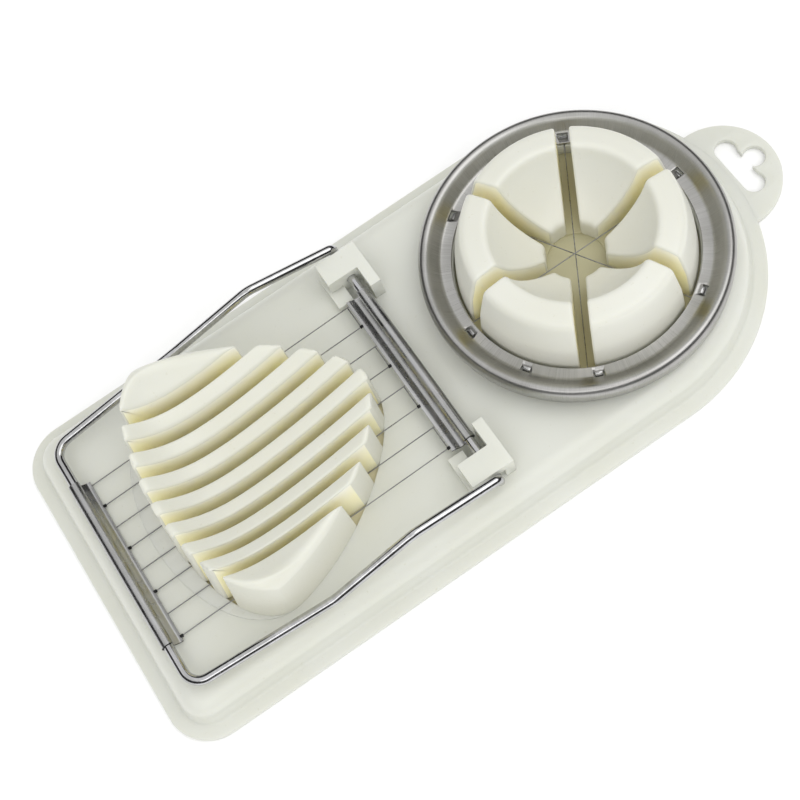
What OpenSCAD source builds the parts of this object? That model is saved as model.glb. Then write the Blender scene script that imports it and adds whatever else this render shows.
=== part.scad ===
// Two-in-one egg slicer: a hinged wire bow slices an egg lying in the ribbed cradle,
// and a loose wire ring cuts an egg standing in the six petals into wedges.
// Frame: +X towards the wedge end and the hanging tab, +Z up, origin under the middle
// of the part on the surface it stands on. Millimetres.

/* [Body] */
// Width over the lip
body_w = 100; // [96:1:106]
// Distance from the origin to the straight front edge of the lip
front_reach = 109; // [106:1:112]
// Radius of the lip's front corners
corner_r = 12; // [11:0.5:16]
// Width of the flat lip round the foot of the wall
lip_w = 4; // [3:0.5:5]
// Thickness of the lip and of the hanging tab
lip_t = 1.8; // [1.5:0.1:2.4]
// Height of the flat deck
deck_z = 10; // [9:0.5:12]
// Wall thickness of the moulded shell
shell_t = 2.2; // [1.8:0.1:2.6]

/* [Hanging tab] */
// Distance from the origin to the end of the tab
tab_reach = 109; // [107:0.5:112]
// Radius of the three round lobes of the hanging hole
hole_lobe_r = 3.1; // [2.8:0.1:3.3]

/* [Wire bow] */
// Radius of the bow's steel rod
rod_r = 1.3; // [1.2:0.1:1.5]
// Position of the hinge axis along the part
hinge_x = -6.6; // [-7:0.1:-6.2]
// Height of the hinge axis
hinge_z = 14.4; // [14:0.1:14.8]
// Position of the front bar along the part
front_bar_x = -97.8; // [-98.5:0.1:-97]
// Height of the front bar
front_bar_z = 13.6; // [13.4:0.1:14.5]
// Height of the bow's arms at their crown
crown_z = 22.3; // [21:0.1:24]
// Radial running clearance of the hinge bar in its blocks
hinge_clear = 0.06; // [0.03:0.01:0.1]

/* [Slicing wires] */
// Number of slicing wires, made of hairpins of two runs each
wire_count = 8; // [8:2:8]
// Distance from one wire to the next
wire_pitch = 7; // [6.8:0.1:7.2]
// Radius of a slicing wire
wire_r = 0.15; // [0.15:0.01:0.2]

/* [Slicing cradle] */
// Half width of the egg-shaped mound across the part
mound_half_w = 35.5; // [34:0.5:36]
// Width of each slot between two ribs
slot_w = 3.2; // [3:0.1:3.8]
// Height of the mound at its high front edge
mound_front_z = 34.8; // [33:0.1:36]
// Height of the mound at its low rear tip
mound_rear_z = 27.2; // [26:0.1:30]

/* [Wedge cradle] */
// Position of the wedge cradle's centre along the part
wedge_x = 44.8; // [44:0.1:45.5]
// Number of petals
petal_count = 6; // [6:1:6]
// Width of the slots between the petals
petal_slot_w = 3.8; // [3.4:0.1:4.2]
// Height of the petals' crest
petal_z = 33; // [31:0.5:34]
// Radius of the round floor inside the petals
floor_r = 8; // [7:0.5:9]

/* [Cutter ring] */
// Inner radius of the ring
ring_in_r = 32.8; // [32.6:0.1:33]
// Outer radius of the ring
ring_out_r = 41.5; // [41:0.1:42]
// Height of the ring's ledge above the table
ledge_z = 15.3; // [15.2:0.1:15.5]
// Height of the ring's rolled rim
rim_z = 19.3; // [19:0.1:20]

/* [Hidden] */

plastic = [0.93, 0.93, 0.89];
steel = [0.62, 0.62, 0.63];
bright = [0.78, 0.78, 0.79];
eps = 0.01;
through = 60;                      // length of a cut that runs right through

// Shell
front_x = -front_reach;
round_x = 45;                      // centre of the round end
shoulder_r = 5.2;                  // roundness of the wall's upper edge
wall_lean = 0.9;                   // slope of the wall between the lip and the shoulder
spigot_gap = 0.1;                  // clearance of each cradle's spigot in the deck

// Mound of the slicing cradle
mound_x = -67;                     // widest place of the mound
mound_rear = 48.2;                 // reach of the mound behind that place
mound_front = 17.2;                // reach in front of it, at the deck
front_lean = 8;                    // slope of the front wall, in degrees
curb_w = 4.4;                      // low step round the foot of the front wall
curb_z = 10.5;
slot_floor_z = 8.6;
dish_x = -58;                      // deepest place of the dish that the egg lies in
dish_low_z = 19.3;
dish_front_rise = 11.7;
dish_rear_rise = 8;
dish_axis_z = 66.3;

// Wedge cradle
seat_r = 36.4;                     // plateau that the ring's ledge comes down on
seat_z = 14.6;
crest_r = 21.6;
petal_top_r = 28.6;
petal_foot_r = 31.9;
bowl_r = 22.6;                     // half axes and centre height of the bowl's arc
bowl_depth = 24.2;
bowl_z = 40;
spoke_z = 10.8;                    // floor of the slots between the petals
floor_z = 10.2;                    // round floor in the middle

// Bow
arm_y_front = 38.2;
arm_y_knee = 41.2;
arm_y_crown = 40.8;
arm_y_hinge = 40;
knee = [-56.6, 16];                // first bend of each arm, along and up
crown_x = -32;
bar_half = 38.3;                   // half length of the straight hinge bar
bend_r = 5;                        // radius of the bow's front corners
clamp_half = 24.9 + 0.9;
sheet_t = 0.5;
wrap_r = rod_r + 0.04;
wire_front = [front_bar_x + 3.4, 10.75];
wire_rear = [hinge_x - 5.2, 13.9];

// Cutter ring
ring_sheet = 0.6;
window_r = 35.1;
window_turns = [3.8, 60.4, 124.3, 183.5, 213.6, 244.5, 304.3];
wedge_wire_z = ledge_z - 0.22;     // the top one of the three wires, which lie one on the other

function arc(centre, r, from, to, n) =
    [for (i = [0:n]) let (a = from + (to - from) * i / n) centre + r * [cos(a), sin(a)]];
function wire_y(i) = wire_pitch * ((wire_count - 1) / 2 - i);

// ---------------------------------------------------------------- shell

// Plan of the body, drawn in from the lip's edge
module body_plan(inset) {
    half = body_w / 2;
    translate([round_x, 0])
        circle(half - inset, $fn = 128);
    translate([front_x + corner_r, inset - half])
        square([round_x - front_x - corner_r, body_w - 2 * inset]);
    translate([front_x + inset, corner_r - half])
        square([corner_r, body_w - 2 * corner_r]);
    for (side = [-1, 1])
        translate([front_x + corner_r, side * (half - corner_r)])
            circle(corner_r - inset, $fn = 64);
}

// Outline of a sloping wall with a round shoulder, measured out from the centre
function wall_outline(reach, top, round_r) = concat([[reach, 0]],
    arc([reach - wall_lean - round_r, top - round_r], round_r, 0, 90, 6));

// Closed form inside such a wall, following the body's plan
module raised_form(inset, top, round_r) {
    side = wall_outline(body_w / 2 - inset, top, round_r);
    corner = wall_outline(corner_r - inset, top, round_r);
    other_side = [for (i = [len(side) - 1:-1:0]) [-side[i][0], side[i][1]]];
    translate([round_x, 0, 0])
        rotate_extrude($fn = 128)
            polygon(concat([[0, 0]], side, [[0, top]]));
    translate([front_x + corner_r, 0, 0])
        rotate([90, 0, 90])
            linear_extrude(round_x - front_x - corner_r)
                polygon(concat(side, other_side));
    for (end = [-1, 1])
        translate([front_x + corner_r, end * (body_w / 2 - corner_r), 0])
            rotate_extrude($fn = 64)
                polygon(concat([[0, 0]], corner, [[0, top]]));
    translate([front_x + corner_r, body_w / 2 - corner_r, 0])
        rotate([90, 0, 0])
            linear_extrude(body_w - 2 * corner_r)
                mirror([1, 0])
                    polygon(concat([[-1, 0]], corner, [[-1, top]]));
}

module mound_plan(front, grow) {
    half = mound_half_w + grow;
    rear = [for (i = [0:24]) let (u = 1 - pow(1 - i / 24, 1.6))
        [mound_x + (mound_rear + grow) * u, half * pow(1 - pow(u, 1.5), 0.65)]];
    lead = [for (a = [96:6:180]) [mound_x + (front + grow) * cos(a), half * sin(a)]];
    upper = concat([for (i = [24:-1:0]) rear[i]], lead);
    lower = [for (i = [len(upper) - 2:-1:1]) [upper[i][0], -upper[i][1]]];
    polygon(concat(upper, lower));
}

module body_shell() {
    color(plastic)
        difference() {
            union() {
                linear_extrude(lip_t)
                    body_plan(0);
                raised_form(lip_w, deck_z, shoulder_r);
            }
            translate([0, 0, -eps])
                raised_form(lip_w + shell_t, deck_z - shell_t + eps, shoulder_r - shell_t);
            linear_extrude(through)
                mound_plan(mound_front, -3);
            translate([wedge_x, 0, 0])
                cylinder(h = through, r = floor_r + 22, $fn = 96);
        }
}

module hanging_hole() {
    base_x = tab_reach - 13.4;
    for (side = [-1, 1])
        translate([base_x + hole_lobe_r, side * 6.2])
            circle(hole_lobe_r, $fn = 48);
    translate([base_x + 7.9, 0])
        circle(hole_lobe_r, $fn = 48);
    translate([base_x, -6.2])
        square([hole_lobe_r + 2.6, 12.4]);
}

module hanging_tab() {
    end_r = 16.4;
    color(plastic)
        linear_extrude(lip_t)
            difference() {
                union() {
                    translate([tab_reach - end_r, 0])
                        circle(end_r, $fn = 96);
                    translate([86, -end_r])
                        square([tab_reach - end_r - 86, 2 * end_r]);
                }
                translate([round_x, 0])
                    circle(body_w / 2, $fn = 128);
                hanging_hole();
            }
}

// ---------------------------------------------------------------- cradles

// Height of the dish along the middle of the cradle, over the whole length of the mound
function dish_height(x) = x < dish_x
    ? min(dish_axis_z - 2, dish_low_z + dish_front_rise * pow((dish_x - x) / 22.4, 2.8))
    : dish_low_z + dish_rear_rise * pow((x - dish_x) / 37.5, 1.6);

// Mound with upright walls and a front wall that leans back
module mound() {
    translate([0, 0, deck_z])
        intersection() {
            linear_extrude(mound_front_z - deck_z)
                mound_plan(mound_front, 0);
            rotate([0, front_lean, 0])
                translate([0, 0, -20])
                    linear_extrude(through)
                        mound_plan(mound_front, 20);
        }
}

module slicing_cradle() {
    fall = atan((mound_front_z - mound_rear_z) / (mound_rear + mound_front));
    color(plastic)
        difference() {
            union() {
                mound();
                translate([0, 0, deck_z])
                    linear_extrude(curb_z - deck_z)
                        mound_plan(mound_front + curb_w, 0);
                translate([0, 0, deck_z - shell_t])
                    linear_extrude(shell_t + 1)
                        mound_plan(mound_front, -3 - spigot_gap);
            }
            // the top falls from the front edge to the rear tip
            translate([mound_x - mound_front, 0, mound_front_z])
                rotate([0, fall, 0])
                    translate([-20, -through, 0])
                        cube([2 * through, 2 * through, 20]);
            // the dish is round across the part, about an axis high above it
            translate([0, 0, dish_axis_z])
                rotate([0, 90, 0])
                    rotate_extrude($fn = 180)
                        polygon(concat([[0, dish_x - 32]],
                            [for (x = [dish_x - 32:2:dish_x + 44]) [dish_axis_z - dish_height(x), x]],
                            [[0, dish_x + 44]]));
            for (i = [0:wire_count - 1])
                translate([-2 * through, wire_y(i) - slot_w / 2, 0]) {
                    translate([0, 0, curb_z])
                        cube([2 * through, slot_w, through]);
                    translate([2 * through + mound_x - mound_front + 1, 0, slot_floor_z])
                        cube([2 * through, slot_w, through]);
                }
        }
}

module petal_profile() {
    bowl_start = acos(floor_r / bowl_r);
    bowl_end = acos(crest_r / bowl_r);
    bowl = [for (i = [0:14]) let (a = bowl_start + (bowl_end - bowl_start) * i / 14)
        [bowl_r * cos(a), bowl_z - bowl_depth * sin(a)]];
    polygon(concat([[0, deck_z - shell_t], [0, floor_z], [floor_r, floor_z]],
        bowl,
        [[crest_r + 0.4, petal_z], [petal_top_r - 0.8, petal_z - 0.9],
            [petal_top_r, petal_z - 1.6], [petal_foot_r - 0.9, petal_z - 11],
            [petal_foot_r, seat_z], [petal_foot_r, deck_z - shell_t]]));
}

module wedge_cradle() {
    color(plastic)
        translate([wedge_x, 0, 0])
            difference() {
                union() {
                    rotate_extrude($fn = 96)
                        petal_profile();
                    translate([0, 0, deck_z])
                        cylinder(h = seat_z - deck_z, r = seat_r, $fn = 96);
                }
                translate([0, 0, deck_z - shell_t - eps])
                    difference() {
                        cylinder(h = shell_t + eps, r = seat_r + 1, $fn = 96);
                        cylinder(h = 2 * shell_t, r = floor_r + 22 - spigot_gap, $fn = 96);
                    }
                for (i = [0:petal_count - 1])
                    rotate([0, 0, i * 360 / petal_count])
                        translate([0, -petal_slot_w / 2, spoke_z])
                            cube([window_r + 0.1, petal_slot_w, through]);
            }
}

// ---------------------------------------------------------------- hinge

// Hook-shaped block with a roof over the hinge bar and a stop wall behind it
module hinge_block() {
    top = 18;
    wall_x = hinge_x + 2.5;
    difference() {
        union() {
            // stop wall behind the hinge bar
            translate([wall_x, 24, deck_z])
                cube([3.1, 14.2, top - deck_z]);
            // roof and its support
            translate([hinge_x - 6.6, 31, deck_z])
                cube([10, 7.2, top - deck_z]);
            // tooth in front of the bar
            translate([hinge_x - 7.4, 26.4, deck_z])
                cube([4.6, 11.8, 2.2]);
        }
        translate([hinge_x, 0, hinge_z])
            rotate([-90, 0, 0])
                cylinder(h = through, r = rod_r + hinge_clear, $fn = 48);
        // mouth in the outer side, where the bar comes in
        translate([hinge_x - 1.8, 36.8, deck_z + 0.5])
            cube([4.6, 3, 4.6]);
        // gap between the roof and the tooth
        translate([hinge_x - 8, 30, deck_z + 2.2])
            cube([5, 9, 1]);
    }
}

module hinge_block_far() {
    color(plastic)
        hinge_block();
}

module hinge_block_near() {
    color(plastic)
        mirror([0, 1, 0])
            hinge_block();
}

// ---------------------------------------------------------------- wire bow

function unit(v) = v / norm(v);

// Points of one bend between two straight runs, from start to finish
function bend(before, corner, after, r, n) =
    let (u = unit(before - corner), v = unit(after - corner),
        half_turn = (180 - acos(u * v)) / 2, reach = r * tan(half_turn),
        centre = corner + unit(u + v) * (r / cos(half_turn)),
        a = corner + u * reach - centre, b = corner + v * reach - centre)
    [for (i = [0:n]) let (t = i / n, turn = 2 * half_turn)
        centre + (sin((1 - t) * turn) * a + sin(t * turn) * b) / sin(turn)];

bow_corners = [
    [hinge_x, bar_half, hinge_z],
    [hinge_x, arm_y_hinge, hinge_z],
    [hinge_x + 0.2, arm_y_hinge, hinge_z + 3],
    [crown_x, arm_y_crown, crown_z],
    [knee[0], arm_y_knee, knee[1]],
    [front_bar_x, arm_y_front, front_bar_z]];
bow_radii = [0, 1.5, 1.5, 8, 10, bend_r];

function mirrored(p) = [p[0], -p[1], p[2]];
bow_half = concat([bow_corners[0]],
    [for (i = [1:5]) each bend(bow_corners[i - 1], bow_corners[i],
        i < 5 ? bow_corners[i + 1] : mirrored(bow_corners[5]), bow_radii[i], i < 3 || i > 4 ? 6 : 4)]);
bow_path = concat(bow_half, [for (i = [len(bow_half) - 1:-1:0]) mirrored(bow_half[i])]);

// A round rod swept along points; each ring is turned square to the path there
module rod_along(path, r, sides) {
    last = len(path) - 1;
    way = [for (i = [0:last]) unit(i == 0 ? [0, 1, 0] : i == last ? [0, 1, 0]
        : unit(path[i] - path[i - 1]) + unit(path[i + 1] - path[i]))];
    frames = carried(way, [[1, 0, 0]], 1);
    points = [for (i = [0:last]) let (s = frames[i], u = cross(s, way[i]))
        for (k = [0:sides - 1]) path[i] + r * (cos(360 * k / sides) * s + sin(360 * k / sides) * u)];
    walls = [for (i = [0:last - 1], k = [0:sides - 1]) let (m = (k + 1) % sides)
        [i * sides + k, i * sides + m, (i + 1) * sides + m, (i + 1) * sides + k]];
    polyhedron(points, concat(walls,
        [[for (k = [sides - 1:-1:0]) k]],
        [[for (k = [0:sides - 1]) last * sides + k]]));
}

// One crosswise direction carried along the whole path, so that the rod doesn't twist
function carried(way, done, i) = i == len(way) ? done
    : carried(way, concat(done, [unit(done[i - 1] - (done[i - 1] * way[i]) * way[i])]), i + 1);

module bow_frame() {
    color(bright)
        rod_along(bow_path, rod_r, 16);
}

module hinge_bar() {
    color(bright)
        translate([hinge_x, -bar_half, hinge_z])
            rotate([-90, 0, 0])
                cylinder(h = 2 * bar_half, r = rod_r, $fn = 48);
}

// Strip of folded sheet that wraps the rod and ends in the edge that holds the wires.
// Drawn with the rod's axis at the origin and the edge towards +X.
module clamp_section(edge) {
    wrap_out = wrap_r + sheet_t;
    trough = [edge[0] * 0.52, edge[1] * 0.9 - 0.7];
    difference() {
        union() {
            circle(wrap_out, $fn = 48);
            polygon([[0.6, -wrap_out + 0.1], [trough[0], trough[1] - sheet_t / 2], edge - [0, sheet_t / 2],
                edge + [0, sheet_t / 2], [trough[0] + 0.5, trough[1] + sheet_t / 2],
                [wrap_out - 0.35, -0.5]]);
        }
        circle(wrap_r, $fn = 48);
    }
}

module clamp_strip(edge, side) {
    rotate([90, 0, 0])
        translate([0, 0, -clamp_half])
            linear_extrude(2 * clamp_half)
                mirror([side < 0 ? 1 : 0, 0])
                    clamp_section(edge);
}

module front_wire_clamp() {
    color(steel)
        translate([front_bar_x, 0, front_bar_z])
            clamp_strip([wire_front[0] - front_bar_x, wire_front[1] - front_bar_z], 1);
}

module hinge_wire_clamp() {
    color(steel)
        translate([hinge_x, 0, hinge_z])
            clamp_strip([hinge_x - wire_rear[0], wire_rear[1] - hinge_z], -1);
}

// One hairpin: two runs joined by a loop inside the rear clamp
module slicing_wire(pair) {
    dx = wire_rear[0] - wire_front[0];
    dz = wire_rear[1] - wire_front[1];
    y = [wire_y(2 * pair), wire_y(2 * pair + 1)];
    color(steel)
        translate([wire_front[0], 0, wire_front[1]])
            rotate([0, -atan(dz / dx), 0])
                union() {
                    for (run = y)
                        translate([0.05, run, 0])
                            rotate([0, 90, 0])
                                cylinder(h = norm([dx, dz]) - 0.1, r = wire_r, $fn = 16);
                    translate([norm([dx, dz]) - 0.45, y[1], 0])
                        rotate([-90, 0, 0])
                            cylinder(h = wire_pitch, r = wire_r, $fn = 16);
                }
}

module slicing_wire_1() { slicing_wire(0); }
module slicing_wire_2() { slicing_wire(1); }
module slicing_wire_3() { slicing_wire(2); }
module slicing_wire_4() { slicing_wire(3); }

// ---------------------------------------------------------------- cutter ring

module ring_section() {
    top = ledge_z + ring_sheet;
    polygon([[ring_in_r, ledge_z], [35.8, ledge_z], [36.7, ledge_z + 0.6], [38.9, rim_z - 1.1],
        [39.4, rim_z - ring_sheet], [40.1, rim_z - ring_sheet], [40.6, rim_z - 1],
        [ring_out_r - ring_sheet, rim_z - 1.7], [ring_out_r - 1, 13.4], [ring_out_r - 0.4, 13.4],
        [ring_out_r, rim_z - 1.6], [ring_out_r - 0.4, rim_z - 0.6], [ring_out_r - 1.3, rim_z],
        [39.2, rim_z - 0.05], [38.4, rim_z - 0.7], [36.2, top + 0.4], [35.5, top], [ring_in_r, top]]);
}

module cutter_ring() {
    color(steel)
        translate([wedge_x, 0, 0])
            difference() {
                rotate_extrude($fn = 128)
                    ring_section();
                for (a = window_turns)
                    rotate([0, 0, a])
                        translate([window_r - 0.75, -1.4, ledge_z - 1])
                            cube([1.5, 2.8, 3]);
            }
}

module wedge_wire(turn, layer) {
    half = window_r - 0.2;
    color(steel)
        translate([wedge_x, 0, wedge_wire_z - layer * 2.1 * wire_r])
            rotate([0, 0, turn])
                rotate([0, 90, 0])
                    translate([0, 0, -half])
                        cylinder(h = 2 * half, r = wire_r, $fn = 16);
}

module wedge_wire_1() { wedge_wire(0, 0); }
module wedge_wire_2() { wedge_wire(60, 1); }
module wedge_wire_3() { wedge_wire(120, 2); }

body_shell();
hanging_tab();
slicing_cradle();
wedge_cradle();
hinge_block_far();
hinge_block_near();
bow_frame();
hinge_bar();
front_wire_clamp();
hinge_wire_clamp();
slicing_wire_1();
slicing_wire_2();
slicing_wire_3();
slicing_wire_4();
cutter_ring();
wedge_wire_1();
wedge_wire_2();
wedge_wire_3();
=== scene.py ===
"""Egg slicer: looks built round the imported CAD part. Metres; helpers take millimetres."""
import math

import bmesh
import bpy
import numpy as np
from mathutils import Matrix, Vector
from mathutils.geometry import tessellate_polygon


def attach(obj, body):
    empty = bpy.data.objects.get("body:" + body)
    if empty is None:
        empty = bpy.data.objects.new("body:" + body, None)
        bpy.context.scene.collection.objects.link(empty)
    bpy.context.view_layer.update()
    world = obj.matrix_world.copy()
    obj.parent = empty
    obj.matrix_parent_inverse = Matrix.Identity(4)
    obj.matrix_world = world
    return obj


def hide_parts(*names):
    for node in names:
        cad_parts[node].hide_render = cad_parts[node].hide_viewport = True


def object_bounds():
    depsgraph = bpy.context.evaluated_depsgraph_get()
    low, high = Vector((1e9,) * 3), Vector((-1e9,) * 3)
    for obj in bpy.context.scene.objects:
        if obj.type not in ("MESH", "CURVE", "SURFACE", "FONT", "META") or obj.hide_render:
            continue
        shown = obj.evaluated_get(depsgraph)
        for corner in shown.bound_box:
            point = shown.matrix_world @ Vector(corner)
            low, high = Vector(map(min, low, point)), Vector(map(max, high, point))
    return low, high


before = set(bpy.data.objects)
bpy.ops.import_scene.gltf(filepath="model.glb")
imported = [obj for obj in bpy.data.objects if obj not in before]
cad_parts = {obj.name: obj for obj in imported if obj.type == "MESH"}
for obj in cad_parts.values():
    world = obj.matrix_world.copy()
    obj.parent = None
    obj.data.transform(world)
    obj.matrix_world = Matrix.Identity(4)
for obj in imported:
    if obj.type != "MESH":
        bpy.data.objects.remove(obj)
cad_low, cad_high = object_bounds()

MM = 0.001

# ------------------------------------------------------------------ camera

CAMERA_AT = (-34.58, -149.44, 356.99)
CAMERA_AZIMUTH = 11.28
CAMERA_ELEVATION = 68.0
CAMERA_ROLL = -23.78
CAMERA_LENS = 64.82
CAMERA_SHIFT = (-0.05, 0.0066)


def make_camera():
    az, el, roll = (math.radians(v) for v in (CAMERA_AZIMUTH, CAMERA_ELEVATION, CAMERA_ROLL))
    look = Vector((math.sin(az) * math.cos(el), math.cos(az) * math.cos(el), -math.sin(el)))
    right = Vector((math.cos(az), -math.sin(az), 0.0))
    up = right.cross(look)
    right_rolled = right * math.cos(roll) + up * math.sin(roll)
    up_rolled = -right * math.sin(roll) + up * math.cos(roll)
    data = bpy.data.cameras.new("camera")
    data.lens = CAMERA_LENS
    data.sensor_width = 36.0
    data.shift_x, data.shift_y = CAMERA_SHIFT
    data.clip_start = 0.01
    data.clip_end = 20.0
    cam = bpy.data.objects.new("camera", data)
    bpy.context.collection.objects.link(cam)
    turn = Matrix((right_rolled, up_rolled, -look)).transposed().to_4x4()
    cam.matrix_world = Matrix.Translation(Vector(CAMERA_AT) * MM) @ turn
    bpy.context.scene.camera = cam


make_camera()

# ------------------------------------------------------------------ sizes, in mm

DECK = 10.0  # top of the deck
HALF = 50.0  # half the body's width
FRONT = -109.0  # front edge of the lip
ROUND_X = 45.0  # centre of the body's round end
CORNER = 12.0  # radius of the front corners
LIP = 1.8  # thickness of the foot lip and of the tab
HINGE = (-6.6, 14.4)  # the bow's axis, (x, z)
WEDGE_X = 44.8  # centre of the petals and of the ring

WELD = 0.002  # points closer than this become one
CAD_WELD = 0.001  # the same, in a copy of a CAD piece
EDGE_STEPS = (0.0, 0.04, 0.12, 0.25, 0.45)  # rows of a rounded edge, measured from its wall
WALL_LEVELS = (0.0, 0.06, 0.14, 0.26, 0.42, 0.6, 0.8, 1.0)  # rows of an end wall, top to foot

# ------------------------------------------------------------------ mesh helpers


def new_object(name, verts, faces, mats, smooth=40.0, face_mats=None, depth=None):
    """An object from millimetre points, with smooth shading up to an angle. depth gives each point a
    number from 0 to 1 that its material reads."""
    mesh = bpy.data.meshes.new(name)
    mesh.from_pydata([(x * MM, y * MM, z * MM) for x, y, z in verts], [], faces)
    for m in mats:
        mesh.materials.append(m)
    if face_mats is not None:
        mesh.polygons.foreach_set("material_index", face_mats)
    bm = bmesh.new()
    bm.from_mesh(mesh)
    bmesh.ops.remove_doubles(bm, verts=bm.verts, dist=WELD * MM)
    bmesh.ops.recalc_face_normals(bm, faces=bm.faces)
    limit = math.radians(smooth)
    for f in bm.faces:
        f.smooth = True
    for e in bm.edges:
        e.smooth = len(e.link_faces) == 2 and e.calc_face_angle(0.0) < limit
    bm.to_mesh(mesh)
    bm.free()
    if depth is not None:
        layer = mesh.attributes.new("depth", "FLOAT", "POINT")
        values = [depth(v.co.x / MM, v.co.y / MM, v.co.z / MM) for v in mesh.vertices]
        layer.data.foreach_set("value", values)
    o = bpy.data.objects.new(name, mesh)
    bpy.context.collection.objects.link(o)
    return o


def loft(loops, closed=True, cap_start=False, cap_end=False):
    """Faces that join rows of points, all with the same count."""
    n = len(loops[0])
    verts = [tuple(p) for row in loops for p in row]
    faces = []
    for i in range(len(loops) - 1):
        for k in range(n if closed else n - 1):
            a, b = i * n + k, i * n + (k + 1) % n
            faces.append((a, b, b + n, a + n))
    if cap_start:
        faces.append(tuple(range(n))[::-1])
    if cap_end:
        base = (len(loops) - 1) * n
        faces.append(tuple(range(base, base + n)))
    return verts, faces


def wall_grid(row, base):
    """An upright end wall: rows of points that go from its outline down to its straight foot."""
    n = len(row)
    foot = [tuple(a + (b - a) * k / (n - 1) for a, b in zip(base[0], base[1])) for k in range(n)]
    rows = [[tuple(a + (b - a) * t for a, b in zip(p, q)) for p, q in zip(row, foot)]
            for t in WALL_LEVELS]
    return loft(rows, closed=False)


def edge_inset(edge, d):
    """How far a round edge of radius edge lies inside the outline, at d from the wall."""
    return edge - math.sqrt(max(0.0, edge ** 2 - (edge - d) ** 2))


def walled_loft(rows, last=1):
    """A loft whose two ends are wall grids. Returns points, faces and each face's material number,
    which is 0 on the sides, 1 on the first wall and last on the other."""
    sides = loft(rows, closed=True)
    ends = [wall_grid(row, (row[0], row[-1])) for row in (rows[0], rows[-1])]
    verts, faces = join([sides] + ends)
    return verts, faces, [0] * len(sides[1]) + [1] * len(ends[0][1]) + [last] * len(ends[1][1])


def join_marked(parts):
    verts, faces = join([(v, f) for v, f, _ in parts])
    return verts, faces, [m for _, _, marks in parts for m in marks]


def join(parts):
    verts, faces = [], []
    for v, f in parts:
        shift = len(verts)
        verts += v
        faces += [tuple(i + shift for i in face) for face in f]
    return verts, faces


def arc2(cx, cy, r, a0, a1, n):
    return [(cx + r * math.cos(math.radians(a0 + (a1 - a0) * i / n)),
             cy + r * math.sin(math.radians(a0 + (a1 - a0) * i / n))) for i in range(n + 1)]


# ------------------------------------------------------------------ materials

WHITE = (1.0, 1.0, 1.0)
# Noise scales on the plastic, per metre: tone, flow marks, flecks, satin, waves and grain.
TONE, FLOW, FLECK, SATIN, WAVES, GRAIN = 14.0, 38.0, 900.0, 1400.0, 60.0, 2600.0
SHADE_SPAN = (0.010, 0.031)  # heights, in metres, over which a cradle's painted shade fades from its foot colour to its top colour
SLOT_EDGE = (0.68, 0.684, 0.615)  # colour of a slot's wall at its top edge, where its painted light starts
# Noise scales of drawn steel, per metre: across its marks, along them, and of its stains.
ACROSS, ALONG, STAINS = 700.0, 26.0, 120.0
ALONG_X, ALONG_Y = 0, 1
# Noise scales of the spun ring: strokes in one turn, strokes per metre of height, and stains.
STROKES_ROUND, STROKES_UP, RING_STAINS = 1500.0, 160.0, 70.0


class Shader:
    """A material under construction: its nodes, links and main shader."""

    def __init__(self, name, metal=0.0, **sockets):
        self.material = bpy.data.materials.new(name)
        self.material.use_nodes = True
        self.tree = self.material.node_tree
        self.main = self.tree.nodes["Principled BSDF"]
        self.main.inputs["Metallic"].default_value = metal
        for key, value in sockets.items():
            self.main.inputs[key.replace("_", " ")].default_value = value

    def node(self, kind, values=None, **settings):
        n = self.tree.nodes.new(kind)
        for key, value in settings.items():
            setattr(n, key, value)
        for key, value in (values or {}).items():
            n.inputs[key].default_value = value
        return n

    def link(self, a, b):
        self.tree.links.new(a, b)

    def place(self, scale=(1.0, 1.0, 1.0), at=(0.0, 0.0, 0.0)):
        """Coordinates on the piece, scaled differently along each axis."""
        coord = self.node("ShaderNodeTexCoord")
        mapping = self.node("ShaderNodeMapping", {"Location": at, "Scale": scale})
        self.link(coord.outputs["Object"], mapping.inputs["Vector"])
        return mapping.outputs["Vector"]

    def noise(self, vector, scale, detail=3.0, rough=0.55):
        n = self.node("ShaderNodeTexNoise", {"Scale": scale, "Detail": detail, "Roughness": rough})
        self.link(vector, n.inputs["Vector"])
        return n.outputs["Fac"]

    def ramp(self, source, *stops):
        n = self.node("ShaderNodeValToRGB")
        n.color_ramp.interpolation = "EASE" if len(stops) == 2 else "LINEAR"
        while len(n.color_ramp.elements) < len(stops):
            n.color_ramp.elements.new(0.5)
        for element, (at, color) in zip(n.color_ramp.elements, stops):
            element.position = at
            element.color = (*color, 1.0)
        self.link(source, n.inputs["Fac"])
        return n.outputs["Color"]

    def range(self, source, low, high, out_low, out_high):
        n = self.node("ShaderNodeMapRange", {1: low, 2: high, 3: out_low, 4: out_high})
        self.link(source, n.inputs[0])
        return n.outputs[0]

    def multiply(self, a, b):
        n = self.node("ShaderNodeMix", {"Factor": 1.0}, data_type="RGBA", blend_type="MULTIPLY")
        self.link(a, n.inputs[6])
        self.link(b, n.inputs[7])
        return n.outputs[2]

    def bump(self, heights):
        """Bump from (source, strength, depth in millimetres), one on the other."""
        normal = None
        for source, strength, depth in heights:
            n = self.node("ShaderNodeBump", {"Strength": strength, "Distance": depth * MM})
            self.link(source, n.inputs["Height"])
            if normal is not None:
                self.link(normal, n.inputs["Normal"])
            normal = n.outputs["Normal"]
        self.link(normal, self.main.inputs["Normal"])

    def finish(self, color, rough):
        self.link(color, self.main.inputs["Base Color"])
        self.link(rough, self.main.inputs["Roughness"])
        return self.material


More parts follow.
